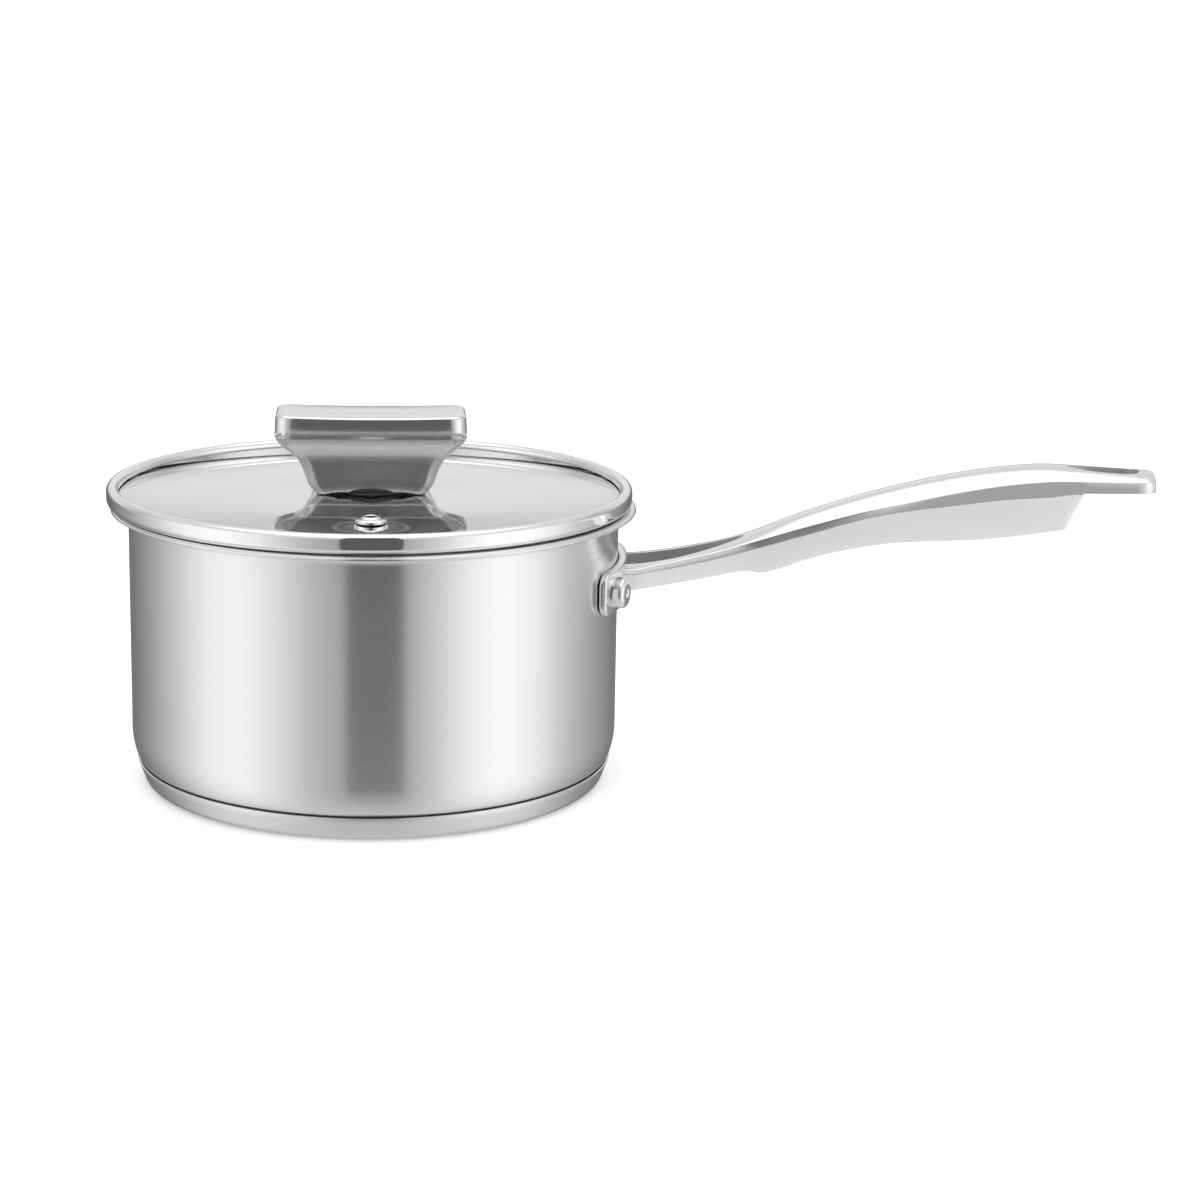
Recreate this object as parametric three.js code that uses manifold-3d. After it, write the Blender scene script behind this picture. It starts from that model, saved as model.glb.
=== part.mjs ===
// Stainless steel saucepan with a flat glass lid, in millimetres, +Z up.
// The origin is the centre of the base on the surface it stands on, and the handle runs along +X.
import * as THREE from 'three';
import { mergeVertices } from 'three/addons/utils/BufferGeometryUtils.js';
import Module from 'manifold-3d';

const wasm = await Module();
wasm.setup();

// ---- driving dimensions ----

const turnSteps = 48; // facets round the pan, the lid and the base
const smallSteps = 24; // facets round rivets, screw and eyelet
const gap = 0.3; // clearance between pieces that touch

const panRadius = 91; // outside of the straight wall
const panSheet = 0.9;
const panWallTop = 99.9; // where the wall starts to flare
const flareRadius = 4.2;
const lipFlat = 1.2; // level part of the pouring lip
const lipRoll = 1.2; // radius of the turned-down edge
const sideCurveStart = 20.8; // the wall is straight above this height
const sideCurveRadius = 28; // slow curve at the foot of the wall
const cornerRadius = 5; // tight curve into the floor
const cornerLean = 20 * Math.PI / 180; // where one curve passes into the other

const capSheet = 0.8;
const capCornerRadius = 3.6;
const capCornerCentre = 83.4;
const capTop = 8.8;
const coreRadius = 84.2;
const coreBottom = 1.2;

const lidShift = -1.5; // the lid rests against one side of its clearance
const lidTurn = 3.5 * Math.PI / 180; // the lid may sit at any angle
const lidLift = 0.3; // gap between the lid and the pouring lip
const rimSheet = 0.7;
const rimLipRadius = 88; // middle of the sheet of the lip inside the pan
const rimLipDepth = 4.3;
const rimRadius = 97.3; // middle of the sheet of the outer band
const rimBendRadius = 1.7;
const rimBeadRadius = 2.65;
const rimTop = 112.3;
const glassThickness = 2.85;
const glassRadius = 95.6;
const glassEdge = 0.5;

const ventDistance = 59; // from the lid's centre to the steam vent
const ventBore = 2.2;
const ventGlassHole = 4.2;
const ventFlange = 5.8;
const ventCollar = 3.4;

const knobHalfLength = 35.4;
const knobHalfDepth = 15;
const knobTop = 139;
const knobPlateBottom = 130.5;
const knobWall = 1.8;
const knobDip = 0.8; // hollow along the top of the knob
const knobRoof = 2.4;
const knobSteps = 32;
const knobSquareness = 5; // exponent of the outline: 2 is an ellipse, higher is squarer
const gasketRadius = 12.7;
const gasketThickness = 0.6;
const softGap = 0.25; // clearance at the soft rings
const bossRadius = 5.5;
const screwRadius = 2.5;
const screwLength = 20; // above the glass
const screwHole = 3.5; // hole in the glass
const ringBore = 3.1; // hole in the rings and the washer
const lowerRingThickness = 0.8;
const lowerRingRadius = 8.5;
const washerThickness = 0.7;
const washerRadius = 8;

const rivetAngle = 18 * Math.PI / 180; // to each side of the handle
const rivetHeight = 77.8;
const rivetShank = 2.6;
const rivetHole = 2.9;
const rivetHead = 5.8;

const flangeThickness = 3;
const flangeBottom = 69.8;
const flangeTop = 86;
const flangeHalfWidth = 38.4;
const flangeCorner = 5;

const handleStart = 92.6;
const handleTip = 290.3;
const skirtEnd = 256.8; // lower corner of the hollow skirt
const skirtEndTop = 262.8;
const skirtWall = 2.2;
const hollowStart = 152;
const hollowEnd = 254;
const slotStart = 93;
const slotEnd = 138;
const loopStart = 258;
const loopEnd = 285.3;
const loopHalfWidth = 6;

// heights and half widths along the handle: distance from the pan's axis, value
const ridgePoints = [[92, 84.1], [100, 84.7], [115, 87.1], [137, 93.3], [160, 102.7], [189, 111.9],
  [219, 118.8], [245, 122.1], [262, 121.8], [292, 120.1]];
const shoulderPoints = [[92, 83.3], [99, 83.6], [129, 89.7], [158, 98.3], [180, 104.7], [195, 108.2],
  [213, 112.4], [232, 115.9], [250, 117.8], [262, 118], [292, 117.8]];
const undersidePoints = [[92, 75], [99, 75.5], [121, 78.8], [138.5, 81.8], [144.5, 81], [151, 82.7],
  [166, 88], [188, 92.7], [203, 94.1], [225, 95.3], [240, 97], [257, 99.5]];
const widthPoints = [[92, 16.8], [99, 15.7], [107, 14], [122, 11.8], [137, 10.2], [150, 10.2],
  [175, 11], [200, 12], [230, 12.4], [262, 12.4], [283, 12], [287.5, 11], [290.3, 8.5]];

// ---- tools ----

// A closed body for cutting and joining, from any closed three.js geometry.
function toSolid(geometry) {
  const plain = geometry.clone();
  plain.deleteAttribute('normal');
  plain.deleteAttribute('uv');
  const merged = mergeVertices(plain, 1e-4);
  const index = merged.index.array;
  const corners = [];
  for (let i = 0; i < index.length; i += 3) {
    const [a, b, c] = [index[i], index[i + 1], index[i + 2]];
    if (a !== b && b !== c && c !== a) corners.push(a, b, c);
  }
  const vertProperties = new Float32Array(merged.attributes.position.array);
  const triVerts = new Uint32Array(corners);
  return new wasm.Manifold(new wasm.Mesh({ numProp: 3, vertProperties, triVerts }));
}

function toGeometry(solid) {
  const mesh = solid.getMesh();
  const geometry = new THREE.BufferGeometry();
  geometry.setAttribute('position', new THREE.BufferAttribute(mesh.vertProperties, 3));
  geometry.setIndex(new THREE.BufferAttribute(mesh.triVerts, 1));
  geometry.computeVertexNormals();
  return geometry;
}

function points(pairs) {
  return pairs.map(([r, z]) => new THREE.Vector2(r, z));
}

// Points of an arc in a section, from one angle in degrees to another.
function arc(r, z, radius, from, to, steps) {
  const turned = [];
  for (let i = 0; i <= steps; i += 1) {
    const angle = THREE.MathUtils.degToRad(from + (to - from) * i / steps);
    turned.push(new THREE.Vector2(r + radius * Math.cos(angle), z + radius * Math.sin(angle)));
  }
  return turned;
}

// Turns a section about Z. Its outer side runs upwards.
function turn(section, steps) {
  const geometry = new THREE.LatheGeometry(section, steps);
  geometry.rotateX(Math.PI / 2);
  return geometry;
}

function ring(inner, outer, bottom, top, steps) {
  const section = points([[inner, bottom], [outer, bottom], [outer, top], [inner, top]]);
  if (inner > 0) section.push(section[0].clone());
  return turn(section, steps);
}

// The section of a sheet of one thickness that follows a line.
// A line that starts on the axis is closed there.
function sheetSection(line, thickness) {
  const outer = [];
  const inner = [];
  line.forEach((point, i) => {
    const before = line[Math.max(i - 1, 0)];
    const after = line[Math.min(i + 1, line.length - 1)];
    const along = after.clone().sub(before).normalize();
    const side = new THREE.Vector2(along.y, -along.x).multiplyScalar(thickness / 2);
    if (point.x === 0) side.set(0, -thickness / 2);
    outer.push(point.clone().add(side));
    inner.unshift(point.clone().sub(side));
  });
  const section = [...outer, ...inner];
  if (line[0].x > 0) section.push(section[0].clone());
  return section;
}

// A smooth value along the handle through a few given points.
function along(pairs) {
  const last = pairs.length - 1;
  const slope = pairs.map((pair, i) => {
    const before = pairs[Math.max(i - 1, 0)];
    const after = pairs[Math.min(i + 1, last)];
    return (after[1] - before[1]) / (after[0] - before[0]);
  });
  return (x) => {
    let i = 0;
    while (i < last - 1 && x > pairs[i + 1][0]) i += 1;
    const width = pairs[i + 1][0] - pairs[i][0];
    const t = (x - pairs[i][0]) / width;
    const rise = t * t * (3 - 2 * t);
    const bend = t * (1 - t) * ((1 - t) * slope[i] - t * slope[i + 1]) * width;
    return pairs[i][1] * (1 - rise) + pairs[i + 1][1] * rise + bend;
  };
}

// A bar along the handle: a box whose stations, width, bottom and top follow functions.
function bar(stations, acrossSteps, upSteps, halfWidth, bottom, top) {
  const box = new THREE.BoxGeometry(1, 2, 1, stations.length - 1, acrossSteps, upSteps);
  const place = box.attributes.position;
  for (let i = 0; i < place.count; i += 1) {
    const x = stations[Math.round((place.getX(i) + 0.5) * (stations.length - 1))];
    const across = place.getY(i);
    const share = place.getZ(i) + 0.5;
    const low = bottom(x);
    place.setXYZ(i, x, across * halfWidth(x), low + share * (top(x, across) - low));
  }
  return box;
}

function evenly(from, to, steps) {
  return Array.from({ length: steps }, (_, i) => from + (to - from) * i / steps);
}

// ---- pan ----

const sheetMiddle = panSheet / 2;
const sideCentre = new THREE.Vector2(panRadius - sideCurveRadius, sideCurveStart);
const cornerReach = sideCurveRadius - cornerRadius;
const cornerCentre = new THREE.Vector2(
  sideCentre.x + cornerReach * Math.cos(cornerLean),
  sideCentre.y - cornerReach * Math.sin(cornerLean),
);
const shellBottom = cornerCentre.y - cornerRadius;
const lipTop = panWallTop + flareRadius + sheetMiddle;

function rivetCutter(angle) {
  const cutter = ring(0, rivetHole, panRadius - 5, panRadius + 8, smallSteps);
  cutter.rotateY(Math.PI / 2);
  cutter.rotateZ(angle);
  cutter.translate(0, 0, rivetHeight);
  return toSolid(cutter);
}

function makePanShell() {
  const lean = THREE.MathUtils.radToDeg(cornerLean);
  const flareCentre = panRadius - sheetMiddle + flareRadius;
  const rollCentre = flareCentre + lipFlat;
  const line = [
    new THREE.Vector2(0, shellBottom + sheetMiddle),
    ...arc(cornerCentre.x, cornerCentre.y, cornerRadius - sheetMiddle, -90, -lean, 3),
    ...arc(sideCentre.x, sideCentre.y, sideCurveRadius - sheetMiddle, -lean / 2, 0, 1),
    ...arc(flareCentre, panWallTop, flareRadius, 180, 90, 3),
    ...arc(rollCentre, panWallTop + flareRadius - lipRoll, lipRoll, 90, 0, 2),
  ];
  let shell = toSolid(turn(sheetSection(line, panSheet), turnSteps));
  for (const angle of [-rivetAngle, rivetAngle]) shell = shell.subtract(rivetCutter(angle));
  return toGeometry(shell);
}

function makeBaseCap() {
  const inset = capCornerRadius - capSheet / 2;
  const bend = arc(capCornerCentre, capCornerRadius, inset, -90, -20, 3);
  const bendEnd = bend[bend.length - 1];
  const rise = capTop - bendEnd.y;
  const lean = Math.tan(THREE.MathUtils.degToRad(20));
  const line = [
    new THREE.Vector2(0, capSheet / 2),
    ...bend,
    new THREE.Vector2(bendEnd.x + rise * lean, capTop),
  ];
  return turn(sheetSection(line, capSheet), turnSteps);
}

function makeCoreDisc() {
  return ring(0, coreRadius, coreBottom, shellBottom - gap, turnSteps);
}

// ---- handle ----

const ridge = along(ridgePoints);
const shoulder = along(shoulderPoints);
const underside = along(undersidePoints);
const halfWidth = along(widthPoints);
const tangBottom = 113.6;

function crownedTop(x, across) {
  return shoulder(x) + (ridge(x) - shoulder(x)) * Math.sqrt(1 - Math.abs(across) ** 2.4);
}

function barBottom(x) {
  if (x <= skirtEnd) return underside(x);
  const share = Math.min((x - skirtEnd) / (skirtEndTop - skirtEnd), 1);
  return THREE.MathUtils.lerp(underside(skirtEnd), tangBottom, share);
}

// The plate that follows the wall, with rounded corners.
function makeFlange() {
  const inner = panRadius + gap;
  const band = toSolid(ring(inner, inner + flangeThickness, flangeBottom, flangeTop, turnSteps));
  const [w, r] = [flangeHalfWidth, flangeCorner];
  const outline = new THREE.Shape();
  outline.moveTo(-w + r, flangeBottom);
  outline.absarc(w - r, flangeBottom + r, r, -Math.PI / 2, 0);
  outline.absarc(w - r, flangeTop - r, r, 0, Math.PI / 2);
  outline.absarc(-w + r, flangeTop - r, r, Math.PI / 2, Math.PI);
  outline.absarc(-w + r, flangeBottom + r, r, Math.PI, Math.PI * 1.5);
  const block = new THREE.ExtrudeGeometry(outline, { depth: 30, bevelEnabled: false, curveSegments: 4 });
  block.rotateX(Math.PI / 2);
  block.rotateZ(Math.PI / 2);
  block.translate(70, 0, 0);
  return band.intersect(toSolid(block));
}

// The tapering gap between the two rails that keeps heat out of the grip.
function makeHeatSlot() {
  const outline = new THREE.Shape();
  const endRadius = 2.6;
  outline.moveTo(slotStart, -9.3);
  outline.lineTo(100, -9.1);
  outline.quadraticCurveTo(116, -7.6, slotEnd - endRadius, -endRadius);
  outline.absarc(slotEnd - endRadius, 0, endRadius, -Math.PI / 2, Math.PI / 2);
  outline.quadraticCurveTo(116, 7.6, 100, 9.1);
  outline.lineTo(slotStart, 9.3);
  const block = new THREE.ExtrudeGeometry(outline, { depth: 30, bevelEnabled: false, curveSegments: 6 });
  block.translate(0, 0, underside(handleStart) - 0.2);
  return toSolid(block);
}

// The eye at the tip: a long ellipse towards the grip and a blunter one towards the tip.
function makeLoopHole() {
  const middle = loopEnd - 6;
  const outline = new THREE.Shape();
  outline.absellipse(middle - 6, 0, middle - 6 - loopStart, loopHalfWidth, Math.PI / 2, Math.PI * 1.5);
  outline.absellipse(middle, 0, loopEnd - middle, loopHalfWidth, -Math.PI / 2, Math.PI / 2);
  const block = new THREE.ExtrudeGeometry(outline, { depth: 30, bevelEnabled: false, curveSegments: 8 });
  block.translate(0, 0, 100);
  return toSolid(block);
}

function makeHandle() {
  const gripStations = [
    ...evenly(handleStart, 138.5, 7),
    ...evenly(138.5, 151, 4),
    ...evenly(151, skirtEnd, 14),
    ...evenly(skirtEnd, skirtEndTop, 2),
    ...evenly(skirtEndTop, 283, 4),
    ...evenly(283, handleTip, 3),
    handleTip,
  ];
  const hollowStations = [...evenly(hollowStart, hollowEnd, 14), hollowEnd];
  const grip = toSolid(bar(gripStations, 8, 1, halfWidth, barBottom, crownedTop));
  const hollow = toSolid(bar(
    hollowStations,
    2,
    1,
    (x) => halfWidth(x) - skirtWall,
    (x) => underside(x) - 5,
    (x, across) => shoulder(x) - skirtWall - 1.5 * Math.abs(across),
  ));
  let handle = grip.add(makeFlange()).subtract(makeHeatSlot());
  handle = handle.subtract(hollow).subtract(makeLoopHole());
  for (const angle of [-rivetAngle, rivetAngle]) handle = handle.subtract(rivetCutter(angle));
  return toGeometry(handle);
}

// One solid rivet: a flat head inside the pan, a shank, and a high dimpled head on the flange.
function makeRivet(angle) {
  const headBase = panRadius + gap + flangeThickness + gap;
  const innerFace = panRadius - panSheet - 2 * gap;
  const section = [
    ...points([[0, innerFace - 1.6], [4.2, innerFace - 1.5], [5.6, innerFace - 0.6]]),
    ...points([[5.6, innerFace], [rivetShank, innerFace], [rivetShank, headBase]]),
    ...points([[rivetHead, headBase], [rivetHead, headBase + 2.6]]),
    ...arc(rivetHead - 2, headBase + 2.6, 2, 30, 90, 2),
    ...points([[1.5, headBase + 4.7], [1.2, headBase + 3.7], [0, headBase + 3.7]]),
  ];
  const rivet = turn(section, smallSteps);
  rivet.rotateY(Math.PI / 2);
  rivet.rotateZ(angle);
  rivet.translate(0, 0, rivetHeight);
  return rivet;
}

// ---- lid, about its own axis ----

const webMiddle = lipTop + lidLift + rimSheet / 2;
const glassBottom = webMiddle + rimSheet / 2 + gap;
const glassTop = glassBottom + glassThickness;
const gasketBottom = glassTop + softGap;
const knobBottom = gasketBottom + gasketThickness + softGap;

// One rolled strip: a lip inside the pan, a web under the glass, the outer band,
// a bead and a short inner leg.
function makeRim() {
  const beadCentre = rimTop - rimSheet / 2 - rimBeadRadius;
  const beadMiddle = rimRadius - rimBeadRadius;
  const line = [
    new THREE.Vector2(rimLipRadius, webMiddle - rimLipDepth),
    ...arc(rimLipRadius + 1.3, webMiddle - 1.3, 1.3, 180, 90, 2),
    ...arc(rimRadius - rimBendRadius, webMiddle + rimBendRadius, rimBendRadius, -90, 0, 2),
    ...arc(beadMiddle, beadCentre, rimBeadRadius, 0, 180, 5),
    new THREE.Vector2(beadMiddle - rimBeadRadius, glassTop + gap),
  ];
  return turn(sheetSection(line, rimSheet), turnSteps);
}

function makeGlass() {
  const edge = glassRadius - glassEdge;
  const section = points([
    [0, glassBottom], [edge, glassBottom], [glassRadius, glassBottom + glassEdge],
    [glassRadius, glassTop - glassEdge], [edge, glassTop], [0, glassTop],
  ]);
  const disc = toSolid(turn(section, turnSteps));
  const middleHole = toSolid(ring(0, screwHole, glassBottom - 5, glassTop + 5, smallSteps));
  const ventHole = ring(0, ventGlassHole, glassBottom - 5, glassTop + 5, smallSteps);
  ventHole.translate(0, -ventDistance, 0);
  return toGeometry(disc.subtract(middleHole).subtract(toSolid(ventHole)));
}

// The soft bush that keeps the steel eyelet off the glass.
function makeVentBush() {
  const [inner, outer, seat] = [ventBore + 1.1, ventGlassHole - gap, ventFlange - 0.6];
  const [low, face] = [glassBottom - 0.6, glassTop + softGap];
  return turn(points([
    [inner, low], [outer, low], [outer, face], [seat, face],
    [seat, face + 0.5], [inner, face + 0.5], [inner, low],
  ]), smallSteps);
}

function makeVentEyelet() {
  const tube = ventBore + 0.8;
  const [low, face] = [glassBottom - 0.9, glassTop + 1.05];
  return turn(points([
    [ventBore, low - 0.6], [ventFlange - 0.8, low - 0.6], [ventFlange - 0.8, low], [tube, low],
    [tube, face], [ventFlange, face], [ventFlange, face + 0.4], [ventCollar, face + 0.6],
    [ventCollar - 0.4, face + 1.2], [ventBore, face + 1.2], [ventBore, low - 0.6],
  ]), smallSteps);
}

// The hollow knob: stations down its outside and back up its inside,
// each with a height, a half length and a half depth.
function makeKnob() {
  const outside = [
    [knobTop, knobHalfLength - 1.2, knobHalfDepth - 1.2],
    [knobTop - 1.1, knobHalfLength, knobHalfDepth],
    [knobPlateBottom, knobHalfLength, knobHalfDepth],
    [128.6, 34.5, 14.2],
    [125.3, 31.2, 12.4],
    [122.3, 27.6, 11.2],
    [117, 24.8, 10.6],
    [111.3, 22.6, 10.2],
    [knobBottom, 20.2, 9.6],
  ];
  const roof = knobTop - knobDip - knobRoof;
  const inside = outside.slice(2).map(([z, a, b]) => [Math.min(z, roof - 1), a - knobWall, b - knobWall]);
  const stations = [
    [knobTop, 0, 0], [knobTop, knobHalfLength / 2, knobHalfDepth / 2], ...outside,
    ...inside.reverse(), [roof, knobHalfLength - 5, knobHalfDepth - 4], [roof, 0, 0],
  ].reverse();
  const knob = new THREE.LatheGeometry(points(stations.map(([z, a]) => [a, z])), knobSteps);
  const place = knob.attributes.position;
  const power = 2 / knobSquareness;
  for (let i = 0; i < place.count; i += 1) {
    const [z, a, b] = stations[i % stations.length];
    const angle = Math.floor(i / stations.length) * 2 * Math.PI / knobSteps;
    const [c, s] = [Math.cos(angle), Math.sin(angle)].map((v) => Math.abs(v) < 1e-9 ? 0 : v);
    const x = a * Math.sign(s) * Math.abs(s) ** power;
    const y = -b * Math.sign(c) * Math.abs(c) ** power;
    const dip = z > knobTop - 0.5 ? knobDip * (1 - (x / knobHalfLength) ** 2) : 0;
    place.setXYZ(i, x, y, z - dip);
  }
  return toGeometry(toSolid(knob));
}

function makeKnobBoss() {
  const top = knobTop - knobDip - knobRoof - gap;
  const threadEnd = glassTop + screwLength + 1.5;
  const hole = screwRadius + gap;
  const section = points([
    [hole, knobBottom], [bossRadius, knobBottom], [bossRadius, top],
    [0, top], [0, threadEnd], [hole, threadEnd],
  ]);
  section.push(section[0].clone());
  return turn(section, smallSteps);
}

function makeKnobGasket() {
  return ring(ringBore, gasketRadius, gasketBottom, gasketBottom + gasketThickness, smallSteps);
}

// Under the glass, from the top down: soft ring, steel washer, screw head.
const lowerRingTop = glassBottom - gap;
const washerTop = lowerRingTop - lowerRingThickness - gap;
const screwHeadTop = washerTop - washerThickness - gap;

function makeLowerGasket() {
  return ring(ringBore, lowerRingRadius, lowerRingTop - lowerRingThickness, lowerRingTop, smallSteps);
}

function makeWasher() {
  return ring(ringBore, washerRadius, washerTop - washerThickness, washerTop, smallSteps);
}

function makeScrew() {
  return turn([
    ...points([[0, screwHeadTop - 2.4], [3.2, screwHeadTop - 2.4]]),
    ...arc(3.2, screwHeadTop - 0.6, 1.8, -90, 0, 3),
    ...points([[5, screwHeadTop], [screwRadius, screwHeadTop], [screwRadius, glassTop + screwLength - 0.6]]),
    ...points([[screwRadius - 0.6, glassTop + screwLength], [0, glassTop + screwLength]]),
  ], smallSteps);
}

// ---- assembly ----

const polished = { color: 0xd9dadc, metalness: 1, roughness: 0.12 };
const satin = { color: 0xc4c5c7, metalness: 1, roughness: 0.32 };
const aluminium = { color: 0xb4b6b8, metalness: 1, roughness: 0.5 };
const glass = { color: 0xdfe6e6, metalness: 0, roughness: 0.03, transparent: true, opacity: 0.35 };
const silicone = { color: 0x1c1c1e, metalness: 0, roughness: 0.6 };

function piece(name, geometry, finish) {
  const mesh = new THREE.Mesh(geometry, new THREE.MeshStandardMaterial(finish));
  mesh.name = name;
  return mesh;
}

const pan = new THREE.Group();
pan.add(
  piece('pan_shell', makePanShell(), satin),
  piece('core_disc', makeCoreDisc(), aluminium),
  piece('base_cap', makeBaseCap(), satin),
  piece('handle', makeHandle(), polished),
  piece('rivet_near', makeRivet(-rivetAngle), polished),
  piece('rivet_far', makeRivet(rivetAngle), polished),
);

const vent = new THREE.Group();
vent.position.set(0, -ventDistance, 0);
vent.add(
  piece('vent_bush', makeVentBush(), silicone),
  piece('vent_eyelet', makeVentEyelet(), polished),
);

const lid = new THREE.Group();
lid.position.set(lidShift, 0, 0);
lid.rotation.z = lidTurn;
lid.add(
  piece('lid_glass', makeGlass(), glass),
  piece('lid_rim', makeRim(), polished),
  vent,
  piece('knob', makeKnob(), polished),
  piece('knob_boss', makeKnobBoss(), satin),
  piece('knob_gasket', makeKnobGasket(), silicone),
  piece('lower_gasket', makeLowerGasket(), silicone),
  piece('screw_washer', makeWasher(), satin),
  piece('knob_screw', makeScrew(), satin),
);

const saucepan = new THREE.Group();
saucepan.add(pan, lid);

export default saucepan;
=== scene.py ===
import math

import bmesh
import bpy
from mathutils import Matrix, Vector


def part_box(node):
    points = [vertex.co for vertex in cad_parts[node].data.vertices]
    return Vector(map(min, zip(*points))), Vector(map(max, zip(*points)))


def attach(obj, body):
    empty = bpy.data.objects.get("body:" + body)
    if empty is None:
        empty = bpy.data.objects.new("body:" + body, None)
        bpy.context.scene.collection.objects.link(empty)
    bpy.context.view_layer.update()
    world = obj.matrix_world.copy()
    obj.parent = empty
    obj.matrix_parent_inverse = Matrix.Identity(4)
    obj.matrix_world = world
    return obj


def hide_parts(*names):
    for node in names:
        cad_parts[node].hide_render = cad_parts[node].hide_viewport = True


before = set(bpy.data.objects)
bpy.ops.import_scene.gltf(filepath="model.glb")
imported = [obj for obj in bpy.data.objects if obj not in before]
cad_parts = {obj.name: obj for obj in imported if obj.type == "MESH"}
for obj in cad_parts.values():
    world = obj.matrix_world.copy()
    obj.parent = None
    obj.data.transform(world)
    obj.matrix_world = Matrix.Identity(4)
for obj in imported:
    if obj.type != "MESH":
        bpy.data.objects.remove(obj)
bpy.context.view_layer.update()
print("frame loaded:", len(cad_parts), "nodes")

# Shapes are drawn in millimetres and scaled to metres as each piece is finished.
mm = 0.001
roundSteps = 192  # facets round the pan and the lid
smallSteps = 64  # facets round rivets, rings and the screw


def cadBox(node):
    low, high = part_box(node)
    return Vector(low) / mm, Vector(high) / mm


rimLow, rimHigh = cadBox("lid_rim")
ventLow, ventHigh = cadBox("vent_eyelet")
glassLow, glassHigh = cadBox("lid_glass")
lidCentre = (rimLow + rimHigh) / 2
ventCentre = (ventLow + ventHigh) / 2
fromLidToVent = ventCentre - lidCentre
ventDistance = fromLidToVent.xy.length
lidTurn = math.atan2(fromLidToVent.x, -fromLidToVent.y)  # the lid may sit at any angle
lidPlace = Matrix.Translation((lidCentre.x, lidCentre.y, 0)) @ Matrix.Rotation(lidTurn, 4, "Z")
ventPlace = lidPlace @ Matrix.Translation((0, -ventDistance, 0))


# Points along an arc in a section of (radius, height) points, from one angle to another in degrees
def arc(r, z, radius, start, end, steps):
    turned = []
    for step in range(steps + 1):
        angle = math.radians(start + (end - start) * step / steps)
        turned.append((r + radius * math.cos(angle), z + radius * math.sin(angle)))
    return turned


# A smooth value through a few given places: (place, value)
def through(pairs):
    last = len(pairs) - 1
    slopes = []
    for i in range(last + 1):
        before, after = pairs[max(i - 1, 0)], pairs[min(i + 1, last)]
        slopes.append((after[1] - before[1]) / (after[0] - before[0]))

    def value(place):
        i = 0
        while i < last - 1 and place > pairs[i + 1][0]:
            i += 1
        width = pairs[i + 1][0] - pairs[i][0]
        t = (place - pairs[i][0]) / width
        rise = t * t * (3 - 2 * t)
        bend = t * (1 - t) * ((1 - t) * slopes[i] - t * slopes[i + 1]) * width
        return pairs[i][1] * (1 - rise) + pairs[i + 1][1] * rise + bend

    return value


def evenly(start, end, steps):
    return [start + (end - start) * step / steps for step in range(steps)]


# Turns a section of (radius, height) points about Z. A closed section makes a ring.
def spin(bm, section, closed, steps):
    verts = [bm.verts.new((r, 0, z)) for r, z in section]
    edges = [bm.edges.new(pair) for pair in zip(verts, verts[1:])]
    if closed:
        edges.append(bm.edges.new((verts[-1], verts[0])))
    bmesh.ops.spin(bm, geom=verts + edges, cent=(0, 0, 0), axis=(0, 0, 1), dvec=(0, 0, 0),
                   angle=math.tau, steps=steps, use_merge=True, use_duplicate=False)
    bmesh.ops.remove_doubles(bm, verts=bm.verts[:], dist=0.001)
    bmesh.ops.dissolve_degenerate(bm, edges=bm.edges[:], dist=0.001)
    bmesh.ops.recalc_face_normals(bm, faces=bm.faces[:])
    return bm


def solidPiece(section, steps=smallSteps):
    return spin(bmesh.new(), section, False, steps)


def ringPiece(section, steps=smallSteps):
    return spin(bmesh.new(), section, True, steps)


# A sheet of one thickness either side of a line of (radius, height) points
def sheetPiece(line, thickness, steps=roundSteps):
    bm = spin(bmesh.new(), line, False, steps)
    bm.normal_update()
    # the sheet grows inwards from its outer face, so the line is moved out by half of it first
    moves = [(vert, vert.normal * vert.calc_shell_factor() * thickness / 2) for vert in bm.verts]
    for vert, move in moves:
        vert.co += move
    bmesh.ops.solidify(bm, geom=bm.faces[:], thickness=thickness)
    bmesh.ops.recalc_face_normals(bm, faces=bm.faces[:])
    return bm


def sharpEdges(bm, degrees):
    limit = math.radians(degrees)
    return [edge for edge in bm.edges if edge.is_manifold and edge.calc_face_angle(0) > limit]


# Bevels every edge that turns by more than so many degrees, or only the edges given
def roundOff(bm, width, segments=2, sharper=50, chosen=None, clamp=True):
    edges = sharpEdges(bm, sharper) if chosen is None else chosen
    bmesh.ops.bevel(bm, geom=edges, offset=width, offset_type="OFFSET", affect="EDGES",
                    segments=segments, profile=0.5, material=-1, clamp_overlap=clamp)


def roundCorners(bm, radius, segments):
    bmesh.ops.bevel(bm, geom=bm.verts[:], offset=radius, offset_type="OFFSET", affect="VERTICES",
                    segments=segments, profile=0.5, material=-1)


def place(bm, matrix):
    bmesh.ops.transform(bm, matrix=matrix, verts=bm.verts[:])


def cutAcross(bm, point, normal):
    bmesh.ops.bisect_plane(bm, geom=bm.verts[:] + bm.edges[:] + bm.faces[:], plane_co=point, plane_no=normal)


def vertsIn(items):
    return [item for item in items if isinstance(item, bmesh.types.BMVert)]


def linkObject(name, data):
    made = bpy.data.objects.new(name, data)
    bpy.context.scene.collection.objects.link(made)
    return made


# Makes the object in metres, with its place in its mesh, sets it on its body and hides the frame's part that
# it stands for.
def finishPiece(bm, name, body, finishes, sharper=32):
    bmesh.ops.scale(bm, vec=(mm, mm, mm), verts=bm.verts[:])
    limit = math.radians(sharper)
    for face in bm.faces:
        face.smooth = True
    for edge in bm.edges:
        edge.smooth = edge.is_manifold and edge.calc_face_angle(0) < limit
    mesh = bpy.data.meshes.new(name)
    bm.to_mesh(mesh)
    bm.free()
    for finish in finishes:
        mesh.materials.append(finish)
    piece = linkObject(name, mesh)
    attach(piece, body)
    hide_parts(name.replace("_piece", ""))
    print(name, len(mesh.polygons), "faces")


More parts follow.
